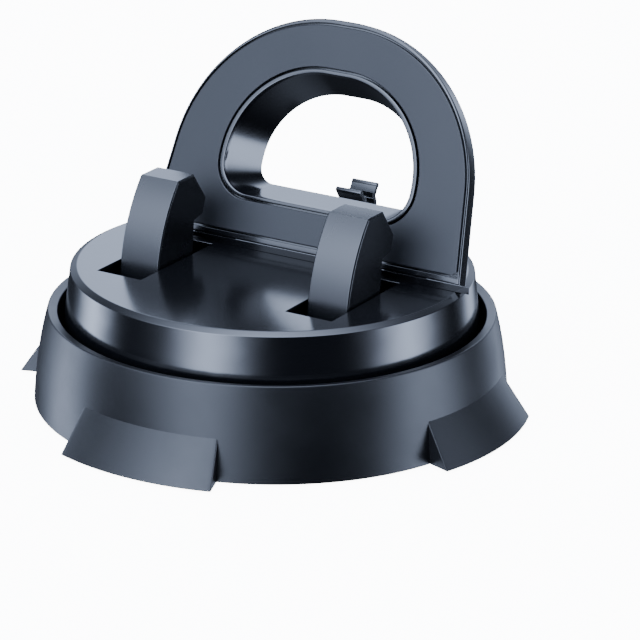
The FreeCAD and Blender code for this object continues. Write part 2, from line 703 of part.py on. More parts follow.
def turntable_shell():
    """Cup turned upside down, with the hook slots, the hinge windows and the bearings below them."""
    body = new_body("turntable_shell")
    turned(body, "cup", [
        ("0", "deck_height"), ("deck_edge_radius", "deck_height"), ("shoulder_radius", "shoulder_height"),
        ("turntable_radius", "flare_height"), ("turntable_radius", "cover_top"),
        ("shell_bore", "cover_top"), ("shell_bore", "flare_height"),
        ("shell_bore_top", "deck_underside"), ("0", "deck_underside"),
    ])
    cheek_points = [
        ("-cheek_front_y", "cheek_root"), ("-cheek_front_y", "cheek_bottom"),
        ("-notch_front_y", "cheek_bottom"), ("-notch_front_y", "pivot_z"),
        ("-notch_back_y", "pivot_z"), ("-notch_back_y", "cheek_bottom"),
        ("-cheek_back_y", "cheek_bottom"), ("-cheek_back_y", "cheek_root"),
    ]
    cheeks = []
    for end, sign in (("inner", "-"), ("outer", "+")):
        profile = outline(body, f"cheek_{end}_section", "YZ_Plane", cheek_points,
                          arcs={3: (HALF_ROUND, False)}, offset=f"$hook_offset {sign} $cheek_gap")
        cheeks.append(pushed(body, f"cheek_{end}", profile, "$cheek_thickness", "Symmetric"))
    for index, (x, y) in enumerate(BOSSES):
        spot = circle(body, f"boss_place{index}", "XY_Plane", x, y, "boss_radius", offset="$cover_top")
        cheeks.append(pushed(body, f"boss{index}", spot, "$cheek_root - $cover_top"))
    mirrored(body, "far_side", cheeks)
    lug_points = [
        ("lug_front_y", "cheek_root"), ("lug_front_y", "lug_bottom"),
        ("lug_back_y", "lug_bottom"), ("lug_back_y", "cheek_root"),
    ]
    for name, offset in lug_places().items():
        profile = outline(body, f"lug_{name}_section", "YZ_Plane", lug_points, offset=offset)
        pushed(body, f"lug_{name}", profile, "$lug_thickness", "Symmetric")
    pin_hole = circle(body, "pin_hole_place", "YZ_Plane", "hinge_y", "hinge_z", "pin_radius",
                      offset="$plate_shift")
    pushed(body, "pin_hole", pin_hole, "2 * ($hinge_offset + $pin_half_length)", "Symmetric", cut=True)
    slot = new_sketch(body, "slot_place", "XY_Plane", "$deck_height + $overcut")
    window = new_sketch(body, "window_place", "XY_Plane", "$deck_height + $overcut")
    for sketch, centres, width, front, length in (
        (slot, ("$hook_offset", "-$hook_offset"), "$slot_width", "-$slot_front", "$slot_length"),
        (window, ("$plate_shift + $hinge_offset", "$plate_shift - $hinge_offset"),
         "$arm_width + 2 * $window_gap", "$window_front", "$window_length"),
    ):
        for index, centre in enumerate(centres):
            rectangle(sketch, 4 * index, centre, width, front, length)
    pushed(body, "slots", slot, "$deck_thickness + 2 * $overcut", cut=True)
    pushed(body, "windows", window, "$deck_thickness + 2 * $overcut", cut=True)
    for index, (x, y) in enumerate(BOSSES):
        spot = circle(body, f"boss_hole_place{index}", "XY_Plane", x, y, "screw_shank", offset="$cover_top")
        bore = pushed(body, f"boss_hole{index}", spot, "$cover_screw_length", cut=True, back=True)
        mirrored(body, f"boss_holes{index}", [bore])
    peg = circle(body, "peg_hole_place", "XY_Plane", "0", "cable_clip_y", "cable_clip_peg",
                 offset="$deck_height + $overcut")
    pushed(body, "peg_hole", peg, "$deck_thickness + 2 * $overcut", cut=True)
    return finish(body)


def rectangle(sketch, first, centre, width, front, length):
    """Rectangle in an XY sketch, centred on an X position, from its front edge towards +Y."""
    places = [Vector(0, 0, 0), Vector(1, 0, 0), Vector(1, 1, 0), Vector(0, 1, 0)]
    shift = Vector(10 * first, 0, 0)
    for index, start in enumerate(places):
        sketch.addGeometry(Part.LineSegment(start + shift, places[(index + 1) % 4] + shift))
    lines = range(first, first + 4)
    for index, line in enumerate(lines):
        following = lines[(index + 1) % 4]
        sketch.addConstraint(Sketcher.Constraint("Coincident", line, END, following, START))
        sketch.addConstraint(Sketcher.Constraint("Horizontal" if index % 2 == 0 else "Vertical", line))
    for kind, places, expression in (
        ("DistanceX", (*ROOT, first, START), f"{centre} - ({width}) / 2"),
        ("DistanceX", (first, START, first, END), width),
        ("DistanceY", (*ROOT, first, START), front),
        ("DistanceY", (first + 1, START, first + 1, END), length),
    ):
        index = sketch.addConstraint(Sketcher.Constraint(kind, *places, 1.0))
        bind(sketch, f"Constraints[{index}]", expression)


def turntable_cover():
    """Bottom cover with the hub, and the posts that keep the hook shaft in its notches."""
    body = new_body("turntable_cover")
    turned(body, "cover_plate", [
        ("hub_bore", "cover_bottom"), ("turntable_radius", "cover_bottom"),
        ("turntable_radius", "cover_top"), ("hub_radius", "cover_top"),
        ("hub_radius", "hub_top"), ("hub_bore", "hub_top"),
    ])
    posts = []
    for end, sign in (("inner", "-"), ("outer", "+")):
        sketch = new_sketch(body, f"post_{end}_place", "XY_Plane", "$cover_top - $rib_root")
        rectangle(sketch, 0, f"$hook_offset {sign} $cheek_gap", "$cheek_thickness",
                  "-$pivot_y - $post_depth / 2", "$post_depth")
        posts.append(pushed(body, f"post_{end}", sketch, "$post_top - $cover_top + $rib_root"))
    for index, (x, y) in enumerate(BOSSES):
        for part, radius, top in (("head", "screw_head", "$cover_bottom + $screw_head_height"),
                                  ("shank", "screw_shank", "$cover_top")):
            spot = circle(body, f"cover_{part}_place{index}", "XY_Plane", x, y, radius, offset=top)
            posts.append(pushed(body, f"cover_{part}{index}", spot, "$cover_top", cut=True))
    mirrored(body, "far_side_posts", posts)
    return finish(body)


def turntable_trim():
    """Cover screws, hinge pins with their friction washers, and the two torsion springs."""
    screws = []
    for index, (x, y) in enumerate(BOSSES):
        place_y = f"-${y[1:]}" if y.startswith("-") else f"${y}"
        for side in ("", "-"):
            screws.append(cross_screw(
                f"cover_screw{index}{'left' if side else 'right'}", f"{side}${x}", place_y,
                "$cover_bottom + $screw_head_height", "$cover_screw_length"))
    finish(group_of("turntable_screws", screws))
    for side, sign in SIDES.items():
        arm = f"$plate_shift + {sign} * $hinge_offset"
        pin = cylinder(f"hinge_pin_{side}", "$pin_radius", "2 * $pin_half_length",
                       f"{arm} - $pin_half_length", "$hinge_y", "$hinge_z", SIDEWAYS)
        pin.Label = f"hinge_pin_{side}"
        finish(pin)
        inner_face = f"{arm} + $arm_width / 2 + $washer_clearance"
        thickness = "$lug_gap - $washer_clearance"
        disc = cylinder(f"friction_disc_{side}", "$friction_washer_radius", thickness, inner_face,
                        "$hinge_y", "$hinge_z", SIDEWAYS)
        hole = cylinder(f"friction_hole_{side}", "$pin_radius", thickness, inner_face,
                        "$hinge_y", "$hinge_z", SIDEWAYS)
        finish(cut_away(f"friction_washer_{side}", disc, hole))
        finish(torsion_spring(side, sign))


def torsion_spring(side, sign):
    """Coil round the hook shaft with one leg up to the deck and one down to the cover."""
    wire, coil, length = size("spring_wire"), size("spring_coil"), size("spring_length")
    helix = Part.makeHelix(size("spring_pitch"), length, coil)
    section = Part.Wire(Part.makeCircle(wire, Vector(coil, 0, 0), Vector(0, 1, 0)))
    spring = Part.Wire(helix).makePipeShell([section], True, True)
    leg_up = size("deck_underside") - size("pivot_z")
    leg_down = size("pivot_z") - size("cover_top")
    legs = [
        Part.makeCylinder(wire, leg_up, Vector(coil, 0, 0), Vector(0, -1, 0)),
        Part.makeCylinder(wire, leg_down, Vector(coil, 0, length), Vector(0, 1, 0)),
    ]
    shape = spring.fuse(legs)
    on_shaft = Rotation(Vector(0, -1, 0), DOWN, SIDEWAYS, "ZXY")
    inner_end = Vector(size("spring_end") - length, -size("pivot_y"), size("pivot_z"))
    shape.Placement = Placement(inner_end, on_shaft)
    node = doc.addObject("Part::Feature", f"torsion_spring_{side}")
    node.Shape = shape if sign > 0 else shape.mirror(Vector(), SIDEWAYS)
    return node


def hinge_rail():
    """Strip along the foot of the plate, with cut-back ends."""
    body = new_body("hinge_rail")
    corners = [("0", "0"), ("rail_depth", "0"), ("rail_depth", "rail_back_top"), ("0", "rail_front_top")]
    strip = outline(body, "rail_section", "YZ_Plane", corners)
    pushed(body, "rail_strip", strip, "$rail_length", "Symmetric")
    end = outline(body, "rail_end_place", "XY_Plane", [
        ("rail_half_length", "0"), ("rail_half_length", "rail_depth"), ("rail_end_start", "rail_depth"),
    ])
    cut = pushed(body, "rail_end", end, "3 * $rail_height", "Symmetric", cut=True)
    mirrored(body, "rail_ends", [cut])
    for prop, cell in (("x", "$plate_shift"), ("y", "$plate_foot_y"), ("z", "$deck_height")):
        bind(body, f"Placement.Base.{prop}", cell)
    return finish(body)


def cable_clip():
    """Split tube with two flared lips, standing on the deck behind the plate."""
    width = "$cable_clip_width"
    side = "-$cable_clip_width / 2"
    centre_y, centre_z = "$cable_clip_y", "$cable_clip_centre"
    tube = cylinder("clip_tube", "$cable_clip_outer", width, side, centre_y, centre_z, SIDEWAYS)
    foot = block("clip_foot", (width, "2 * $cable_clip_outer", "$cable_clip_centre - $deck_height"),
                 (side, f"{centre_y} - $cable_clip_outer", "$deck_height"))
    peg = cylinder("clip_peg", "$cable_clip_peg", "$deck_thickness + $cable_clip_overlap", "0", centre_y,
                   "$deck_height - $deck_thickness")
    bore = cylinder("clip_bore", "$cable_clip_inner", width, side, centre_y, centre_z, SIDEWAYS)
    mouth = block("clip_mouth", (width, "$cable_clip_mouth", "2 * $cable_clip_outer"),
                  (side, f"{centre_y} - $cable_clip_mouth / 2", centre_z))
    ring = cut_away("clip_ring", fused("clip_blank", [tube, foot, peg]), fused("clip_hollow", [bore, mouth]))
    lips = []
    wall = size("cable_clip_outer") - size("cable_clip_inner")
    lean = size("cable_clip_flare")
    neck_rise = (size("cable_clip_inner") ** 2 - (size("cable_clip_mouth") / 2) ** 2) ** 0.5
    for name, sign in (("front", -1), ("rear", 1)):
        lip = Part.makeBox(size("cable_clip_width"), wall, size("cable_clip_lip"),
                           Vector(-size("cable_clip_width") / 2, 0 if sign > 0 else -wall, 0))
        bead = Part.makeCylinder(size("cable_clip_bead"), size("cable_clip_width"),
                                 Vector(-size("cable_clip_width") / 2, sign * wall / 2,
                                        size("cable_clip_lip")), SIDEWAYS)
        flare = doc.addObject("Part::Feature", f"clip_lip_{name}")
        flare.Shape = lip.fuse(bead)
        flare.Placement = Placement(
            Vector(0, size("cable_clip_y") + sign * size("cable_clip_mouth") / 2,
                   size("cable_clip_centre") + neck_rise - size("cable_clip_overlap")),
            Rotation(SIDEWAYS, -sign * lean))
        lips.append(flare)
    clip = fused("cable_clip", [ring, *lips])
    clip.Refine = True
    return finish(clip)


# ---------------------------------------------------------------------------------------------
# Hooks
# ---------------------------------------------------------------------------------------------
def hooks():
    """Two hooks pressed on one shaft, with a retaining clip on each end."""
    for side, sign in SIDES.items():
        body = new_body(f"hook_{side}")
        profile = outline(body, f"hook_{side}_section", "YZ_Plane", [
            ("-hook_tail_y", "hook_tail_z"), ("-boss_front_y", "pivot_z"), ("-boss_back_y", "pivot_z"),
            ("-back_y", "deck_height"), ("-throat_y", "throat_z"), ("chin_y", "chin_z"),
            ("nose_y", "nose_z"), ("-hook_top_back_y", "hook_top_z"), ("-hook_top_front_y", "hook_top_z"),
        ], arcs={1: (HALF_ROUND, True), 8: ("hook_bow", True)})
        arm = pushed(body, f"hook_{side}_arm", profile, "$hook_width", "Symmetric")
        doc.recompute()
        edges = [f"Edge{number}" for number, edge in enumerate(arm.Shape.Edges, start=1)
                 if edge.BoundBox.ZMin > size("hook_tail_z") - TOUCH and edge.BoundBox.XLength < TOUCH]
        bevel = body.newObject("PartDesign::Chamfer", f"hook_{side}_bevel")
        bevel.Base = (arm, edges)
        bind(bevel, "Size", "$hook_edge")
        bore = circle(body, f"hook_{side}_bore_place", "YZ_Plane", "-pivot_y", "pivot_z", "shaft_radius")
        pushed(body, f"hook_{side}_bore", bore, "2 * $hook_width", "Symmetric", cut=True)
        bind(body, "Placement.Base.x", f"{sign} * $hook_offset")
        finish(body)
        start = "$clip_start" if sign > 0 else "-$clip_start - $clip_thickness"
        disc = cylinder(f"clip_disc_{side}", "$clip_radius", "$clip_thickness", start,
                        "-$pivot_y", "$pivot_z", SIDEWAYS)
        hole = cylinder(f"clip_hole_{side}", "$shaft_radius", "$clip_thickness", start,
                        "-$pivot_y", "$pivot_z", SIDEWAYS)
        finish(cut_away(f"shaft_clip_{side}", disc, hole))
    shaft = cylinder("hook_shaft", "$shaft_radius", "2 * $shaft_half_length", "-$shaft_half_length",
                     "-$pivot_y", "$pivot_z", SIDEWAYS)
    finish(shaft)


# ---------------------------------------------------------------------------------------------
# Back plate, in its own directions: X across, Y up along it, Z out of its front face
# ---------------------------------------------------------------------------------------------
def stand(body):
    """Put a plate body on the rail and lean it back."""
    body.Placement = Placement(Vector(), Rotation(SIDEWAYS, 90 - size("plate_lean")))
    for prop, cell in (("x", "$plate_shift"), ("y", "$plate_foot_y"), ("z", "$plate_foot_z")):
        bind(body, f"Placement.Base.{prop}", cell)
    bind(body, "Placement.Rotation.Angle", "90 deg - $plate_lean * 1 deg")


PLATE = ("plate_half_width", "0", "plate_height", "plate_corner")
PAD = ("pad_half_width", "pad_bottom", "pad_height", "pad_corner")
SEAT = ("seat_half_width", "seat_bottom", "seat_height", "seat_corner")
HOLE = ("opening_half_width", "opening_bottom", "opening_top",
        "opening_lower_corner", "opening_upper_corner")
FUNNEL = {
    "outer": (("collar_outer", "collar_outer_bottom", "collar_outer_top",
               "collar_outer_lower", "collar_outer_upper"),
              ("throat_outer", "throat_outer_bottom", "throat_outer_top",
               "throat_outer_lower", "throat_outer_upper")),
    "inner": (("collar_inner", "collar_inner_bottom", "collar_inner_top",
               "collar_inner_lower", "collar_inner_upper"),
              ("throat_inner", "throat_inner_bottom", "throat_inner_top",
               "throat_inner_lower", "throat_inner_upper")),
}


def screw_holes(body, offset):
    """Holes for the four plate screws, cut backwards from a face of the plate."""
    drilled = []
    for name, x, y in (("low", "low_screw_x", "low_screw_y"), ("high", "high_screw_x", "high_screw_y")):
        spot = circle(body, f"{name}_screw_place", "XY_Plane", x, y, "plate_screw_shank", offset=offset)
        drilled.append(pushed(body, f"{name}_screw_hole", spot, "2 * $plate_thickness", cut=True))
    mirrored(body, "screw_holes", drilled)


def plate_frame():
    body = new_body("plate_frame")
    slab = pushed(body, "frame_slab", arch(body, "frame_outline", *PLATE), "$frame_thickness", back=True)
    doc.recompute()
    edges = [f"Edge{number}" for number, edge in enumerate(slab.Shape.Edges, start=1)
             if abs(edge.BoundBox.ZMin) < TOUCH and edge.BoundBox.YMax > TOUCH]
    bevel = body.newObject("PartDesign::Chamfer", "frame_bevel")
    bevel.Base = (slab, edges)
    bind(bevel, "Size", "$frame_edge")
    seat = arch(body, "pad_seat_outline", *SEAT)
    pushed(body, "pad_seat", seat, "$pad_depth", cut=True)
    hole = porthole(body, "frame_hole_outline", *HOLE)
    pushed(body, "frame_hole", hole, "2 * $frame_thickness", cut=True)
    screw_holes(body, "-$pad_depth")
    stand(body)
    return finish(body)


def plate_pad():
    body = new_body("plate_pad")
    pushed(body, "pad_slab", arch(body, "pad_outline", *PAD), "$pad_depth", back=True)
    hole = porthole(body, "pad_hole_outline", *HOLE)
    pushed(body, "pad_hole", hole, "2 * $pad_depth", cut=True)
    stand(body)
    return finish(body)


def funnel(body, name, wall, cut=False):
    """Tapered tunnel through the plate, from its front face to the end of the collar."""
    front, rear = FUNNEL[wall]
    kind = "PartDesign::SubtractiveLoft" if cut else "PartDesign::AdditiveLoft"
    mouth = porthole(body, f"{name}_mouth", *front)
    throat = porthole(body, f"{name}_throat", *rear, offset="-$collar_depth")
    feature = body.newObject(kind, name)
    feature.Profile = mouth
    feature.Sections = [throat]
    feature.Ruled = True
    return feature


def opening_collar():
    body = new_body("opening_collar")
    funnel(body, "collar_skin", "outer")
    funnel(body, "collar_hollow", "inner", cut=True)
    stand(body)
    return finish(body)


def plate_back():
    """Back cover with the collar's hole and two hinge arms that reach down through the deck."""
    body = new_body("plate_back")
    back = arch(body, "back_outline", *PLATE, offset="-$frame_thickness")
    slab = pushed(body, "back_slab", back, "$back_thickness", back=True)
    doc.recompute()
    depth = size("plate_thickness")
    edges = [f"Edge{number}" for number, edge in enumerate(slab.Shape.Edges, start=1)
             if abs(edge.BoundBox.ZMax + depth) < TOUCH]
    rounding = body.newObject("PartDesign::Fillet", "back_rounding")
    rounding.Base = (slab, edges)
    bind(rounding, "Radius", "$back_edge")
    for side, sign in SIDES.items():
        place = f"{sign} * $hinge_offset"
        arm = outline(body, f"arm_{side}_section", "YZ_Plane", [
            ("0", "-frame_thickness"), ("-arm_front_down", "-arm_front_back"),
            ("-arm_rear_down", "-arm_rear_back"), ("arm_root", "-plate_thickness"),
            ("arm_root", "-frame_thickness"),
        ], offset=place)
        pushed(body, f"arm_{side}", arm, "$arm_width", "Symmetric")
        knuckle = circle(body, f"knuckle_{side}_place", "YZ_Plane", "-hinge_down", "-hinge_back",
                         "knuckle_radius", offset=place)
        pushed(body, f"knuckle_{side}", knuckle, "$arm_width", "Symmetric")
    bore = circle(body, "knuckle_bore_place", "YZ_Plane", "-hinge_down", "-hinge_back", "knuckle_bore")
    pushed(body, "knuckle_bore", bore, "4 * $hinge_offset", "Symmetric", cut=True)
    funnel(body, "back_hole", "outer", cut=True)
    screw_holes(body, "0")
    stand(body)
    return finish(body)


def plate_screws():
    """Four screws from behind that hold the frame to the back cover."""
    lean = Rotation(SIDEWAYS, 90 - size("plate_lean"))
    foot = Vector(size("plate_shift"), size("plate_foot_y"), size("plate_foot_z"))
    depth = size("plate_thickness")
    screws = []
    shank_radius, rise = size("plate_screw_shank"), size("plate_screw_rise")
    slot_width = size("plate_slot_width")
    low = (size("low_screw_x"), size("low_screw_y"))
    high = (size("high_screw_x"), size("high_screw_y"))
    places = [(sign * x, y) for x, y in (low, high) for sign in SIDES.values()]
    for index, (x, y) in enumerate(places):
        shank = Part.makeCylinder(shank_radius, depth - size("pad_depth"), Vector(x, y, -depth))
        head = Part.makeCylinder(size("plate_screw_head"), rise, Vector(x, y, -depth), DOWN)
        slot = Part.makeBox(2 * shank_radius, slot_width, size("plate_slot_depth"),
                            Vector(x - shank_radius, y - slot_width / 2, -depth - rise))
        screw = doc.addObject("Part::Feature", f"plate_screw{index}")
        screw.Shape = shank.fuse(head).cut(slot)
        screw.Placement = Placement(foot, lean)
        screws.append(screw)
    finish(group_of("plate_screws", screws))


base_ring()
foot_pads()
base_floor()
base_trim()
turntable_shell()
turntable_cover()
turntable_trim()
hinge_rail()
cable_clip()
hooks()
plate_frame()
plate_pad()
opening_collar()
plate_back()
plate_screws()
doc.recompute()

# ---------------------------------------------------------------------------------------------
# Check and write
# ---------------------------------------------------------------------------------------------
failed = [thing.Label for thing in doc.Objects if {"Invalid", "Error"} & set(thing.State)]
failed += [node.Label for node in NODES if node.Shape.isNull() or not node.Shape.isValid()]
if failed:
    raise RuntimeError(f"these did not build: {failed}")
os.makedirs("parts", exist_ok=True)
for node in NODES:
    node.Shape.exportStep(f"parts/{node.Label}.step")
    print(f"{node.Label:24s} {node.Shape.Volume:10.1f} mm3  {len(node.Shape.Solids)} solid(s)")
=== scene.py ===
"""Dashboard phone mount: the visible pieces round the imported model.

Metres, +Z up, origin on the ground under the turntable's axis. The hooks are on the -Y side.
"""
import json
import math

import bmesh
import bpy
from mathutils import Matrix, Vector

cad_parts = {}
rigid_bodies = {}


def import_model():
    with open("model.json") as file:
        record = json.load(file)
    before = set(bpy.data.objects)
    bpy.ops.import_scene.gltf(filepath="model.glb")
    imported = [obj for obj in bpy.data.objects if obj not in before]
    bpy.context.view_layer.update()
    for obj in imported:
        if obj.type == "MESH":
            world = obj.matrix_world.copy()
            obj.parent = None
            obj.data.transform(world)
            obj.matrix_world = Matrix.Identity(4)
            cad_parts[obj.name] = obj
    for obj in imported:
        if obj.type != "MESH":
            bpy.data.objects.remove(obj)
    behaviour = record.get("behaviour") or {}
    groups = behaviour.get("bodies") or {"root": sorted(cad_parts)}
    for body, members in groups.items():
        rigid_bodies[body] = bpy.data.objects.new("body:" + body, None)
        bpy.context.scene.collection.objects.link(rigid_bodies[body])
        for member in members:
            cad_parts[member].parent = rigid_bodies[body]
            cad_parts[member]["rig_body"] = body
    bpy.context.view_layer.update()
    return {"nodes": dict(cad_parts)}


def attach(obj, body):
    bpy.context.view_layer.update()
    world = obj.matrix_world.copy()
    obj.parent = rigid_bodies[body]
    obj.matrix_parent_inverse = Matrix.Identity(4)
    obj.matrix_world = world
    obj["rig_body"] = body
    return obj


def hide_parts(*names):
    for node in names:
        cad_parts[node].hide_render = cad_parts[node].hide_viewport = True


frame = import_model()

MM = 0.001
WELD = 1e-6  # metres; vertices this close are one
SHARP = math.radians(22)  # edges of a CAD node that turn more than this are corners
CREASE = math.radians(35.2)  # and of a piece built from outlines
BASE_CREASE = math.radians(19)  # and of the base, so that the feet stand out from the wall
FULL_TURN = 360.0
EDGE_STEPS = 3  # faces across a rounded edge
WHITE = (1.0, 1.0, 1.0)


# ---------------------------------------------------------------------------------------------
# Camera, lights and floor
# ---------------------------------------------------------------------------------------------
def toward(azimuth, elevation):
    """Unit vector from the object towards a viewer; azimuth 0 is in front, 90 on the +X side."""
    a, e = math.radians(azimuth), math.radians(elevation)
    return Vector((math.sin(a) * math.cos(e), -math.cos(a) * math.cos(e), math.sin(e)))


def look_from(azimuth, elevation, target, distance, roll):
    """Matrix of a camera that looks at target from that side."""
    back = toward(azimuth, elevation)
    right = Vector((math.cos(math.radians(azimuth)), math.sin(math.radians(azimuth)), 0))
    up = back.cross(right)
    turn = math.radians(roll)
    columns = (math.cos(turn) * right + math.sin(turn) * up,
               math.cos(turn) * up - math.sin(turn) * right, back)
    matrix = Matrix(columns).transposed().to_4x4()
    matrix.translation = Vector(target) + back * distance
    return matrix


VIEW_AZIMUTH, VIEW_ELEVATION, VIEW_ROLL = 30.405029, 20.127661, 0.891494
VIEW_TARGET, VIEW_DISTANCE = (0.01001125, 0, 0.01658014), 0.6059382
SENSOR_WIDTH, FOCAL_LENGTH = 36, 190.4696

lens = bpy.data.cameras.new("camera")
lens.sensor_width = SENSOR_WIDTH
lens.lens = FOCAL_LENGTH
lens.clip_start, lens.clip_end = 0.01, 20
camera = bpy.data.objects.new("camera", lens)
camera.matrix_world = look_from(VIEW_AZIMUTH, VIEW_ELEVATION, VIEW_TARGET, VIEW_DISTANCE, VIEW_ROLL)
bpy.context.scene.collection.objects.link(camera)
bpy.context.scene.camera = camera


def node_tree(owner):
    owner.use_nodes = True
    owner.node_tree.nodes.clear()
    return owner.node_tree


def add_node(tree, kind, values=None, **settings):
    """New node with its settings and input values."""
    node = tree.nodes.new(kind)
    for name, value in settings.items():
        setattr(node, name, value)
    for socket, value in (values or {}).items():
        node.inputs[socket].default_value = value
    return node


class Studio:
    """World light: soft panels round the object, each with a place, a spread and a strength."""

    def __init__(self, colour, base):
        """colour tints all of the light, and base is its strength between the panels."""
        world = bpy.data.worlds.new("studio")
        bpy.context.scene.world = world
        self.tree = node_tree(world)
        self.place = add_node(self.tree, "ShaderNodeTexCoord").outputs["Generated"]
        self.split = add_node(self.tree, "ShaderNodeSeparateXYZ")
        self.tree.links.new(self.place, self.split.inputs[0])
        self.total = add_node(self.tree, "ShaderNodeValue").outputs[0]
        self.total.default_value = base
        self.colour = colour

    def number(self, operation, *inputs):
        return self.calculate("ShaderNodeMath", operation, inputs, 0)

    def vector(self, operation, *inputs):
        result = "Value" if operation == "DOT_PRODUCT" else 0
        return self.calculate("ShaderNodeVectorMath", operation, inputs, result)

    def calculate(self, kind, operation, inputs, result):
        node = add_node(self.tree, kind, operation=operation)
        for socket, value in enumerate(inputs):
            if isinstance(value, bpy.types.NodeSocket):
                self.tree.links.new(value, node.inputs[socket])
            else:
                node.inputs[socket].default_value = value
        return node.outputs[result]

    def ramp(self, value, low, high):
        """Soft step from 0 at low to 1 at high."""
        node = add_node(self.tree, "ShaderNodeMapRange", {"From Min": low, "From Max": high},
                        interpolation_type="SMOOTHSTEP")
        self.tree.links.new(value, node.inputs["Value"])
        return node.outputs["Result"]

    def add(self, amount):
        self.total = self.number("ADD", self.total, amount)

    def facing(self, vector, direction, spread):
        """Bell curve round a direction; spread is its standard deviation in degrees."""
        along = self.number("MAXIMUM", self.vector("DOT_PRODUCT", vector, tuple(direction)), 0.0)
        return self.number("POWER", along, 1 / math.radians(spread) ** 2)

    def strip(self, azimuth, spread, strength, low, high, fade=0.12):
        """Upright panel between two heights, given as sines of the elevation."""
        level = self.vector("NORMALIZE", self.vector("MULTIPLY", self.place, (1.0, 1.0, 0.0)))
        across = self.facing(level, toward(azimuth, 0), spread)
        height = self.split.outputs["Z"]
        window = self.number("MULTIPLY", self.ramp(height, low - fade, low + fade),
                             self.ramp(height, high + fade, high - fade))
        self.add(self.number("MULTIPLY", self.number("MULTIPLY", across, window), strength))

    def spot(self, azimuth, elevation, spread, strength):
        """Round soft panel."""
        glow = self.facing(self.place, toward(azimuth, elevation), spread)
        self.add(self.number("MULTIPLY", glow, strength))

    def finish(self, seen):
        """Close the world: the camera sees an even pale backdrop."""
        path = add_node(self.tree, "ShaderNodeLightPath")
        pale = add_node(self.tree, "ShaderNodeBackground", {"Color": (*WHITE, 1), "Strength": seen})
        lit = add_node(self.tree, "ShaderNodeBackground", {"Color": (*self.colour, 1)})
        self.tree.links.new(self.total, lit.inputs["Strength"])
        either = add_node(self.tree, "ShaderNodeMixShader")
        end = add_node(self.tree, "ShaderNodeOutputWorld")
        sources = (path.outputs["Is Camera Ray"], lit.outputs[0], pale.outputs[0])
        for socket, source in enumerate(sources):
            self.tree.links.new(source, either.inputs[socket])
        self.tree.links.new(either.outputs[0], end.inputs["Surface"])


BACKDROP = 12.0  # strength of the backdrop and the floor
COOL, BETWEEN = (0.64, 0.75, 1.0), 0.05  # tint of the light, and its strength between the panels
STRIPS = (  # azimuth, spread, strength, sines of the lower and upper edge's elevation
    (-84, 9, 7.6, -0.55, 0.35),
    (-3, 11.3, 9.0, -0.55, 0.75),
    (110, 11.6, 8.4, -0.55, 0.40),
    (174, 6.8, 2.8, -0.55, 0.35),
)
SPOTS = (  # azimuth, elevation, spread, strength
    (-150, 24, 14, 3.4),
    (-30, 26, 14, 3.6),
    (-16, 42, 11, 4.6),
    (0, 84, 20, 9.0),
)

studio = Studio(COOL, BETWEEN)
for strip in STRIPS:
    studio.strip(*strip)
for spot in SPOTS:
    studio.spot(*spot)
studio.finish(BACKDROP)


# ---------------------------------------------------------------------------------------------
# Materials
# ---------------------------------------------------------------------------------------------
def surface(name, colour, roughness, tint=0.12, cloud=60.0, wander=0.05, grain=4500.0, depth=0.02,
            **shader):
    """Moulded material: a slow drift of tone and gloss, and a fine grain in the surface.

    tint and wander say how far colour and roughness drift, cloud and grain are noise scales per
    metre, depth is the grain's height in millimetres and shader holds plain shader values.
    """
    material = bpy.data.materials.new(name)
    tree = node_tree(material)
    place = add_node(tree, "ShaderNodeTexCoord")
    drift = add_node(tree, "ShaderNodeTexNoise", {"Scale": cloud, "Detail": 4.0, "Roughness": 0.55})
    tones = add_node(tree, "ShaderNodeMix", data_type="RGBA")
    tones.inputs["A"].default_value = (*(c * (1 - tint) for c in colour), 1)
    tones.inputs["B"].default_value = (*(c * (1 + tint) for c in colour), 1)
    gloss = add_node(tree, "ShaderNodeMapRange", {"From Min": 0.3, "From Max": 0.7,
                                                 "To Min": roughness - wander,
                                                 "To Max": roughness + wander})
    fine = add_node(tree, "ShaderNodeTexNoise", {"Scale": grain, "Detail": 2.0, "Roughness": 0.5})
    relief = add_node(tree, "ShaderNodeBump", {"Strength": 1.0, "Distance": depth * MM})
    body = add_node(tree, "ShaderNodeBsdfPrincipled")
    for socket, value in shader.items():
        body.inputs[socket.replace("_", " ")].default_value = value
    out = add_node(tree, "ShaderNodeOutputMaterial")
    for texture in (drift, fine):
        tree.links.new(place.outputs["Object"], texture.inputs["Vector"])
    tree.links.new(drift.outputs["Fac"], tones.inputs["Factor"])
    tree.links.new(tones.outputs["Result"], body.inputs["Base Color"])
    tree.links.new(drift.outputs["Fac"], gloss.inputs["Value"])
    tree.links.new(gloss.outputs["Result"], body.inputs["Roughness"])
    tree.links.new(fine.outputs["Fac"], relief.inputs["Height"])
    tree.links.new(relief.outputs["Normal"], body.inputs["Normal"])
    tree.links.new(body.outputs["BSDF"], out.inputs["Surface"])
    return material


MATTE = surface("base_plastic", (0.003, 0.0031, 0.0036), 0.36, grain=9000, depth=0.004)
GLOSS = surface("gloss_black", (0.002, 0.0022, 0.0028), 0.17, wander=0.015, depth=0.0004,
                Specular_IOR_Level=1.0)
SATIN = surface("satin_black", (0.003, 0.0034, 0.0042), 0.27, wander=0.01, depth=0.0003,
                Specular_IOR_Level=1.0)
PAD = surface("soft_pad", (0.006, 0.0068, 0.0085), 0.42, grain=7000, depth=0.006,
              Specular_IOR_Level=0.5)
RUBBER = surface("grip_rubber", (0.012, 0.012, 0.013), 0.75, grain=5000, depth=0.012)
NYLON = surface("nylon", (0.55, 0.54, 0.50), 0.45, depth=0.002)
STEEL = surface("steel", (0.55, 0.56, 0.58), 0.28, depth=0.001, Metallic=1.0)
FLOOR = surface("floor", (0.80, 0.80, 0.80), 0.60, tint=0.004, cloud=3, wander=0.02, grain=900,
                depth=0.002, Emission_Color=(*WHITE, 1), Emission_Strength=BACKDROP - 1)

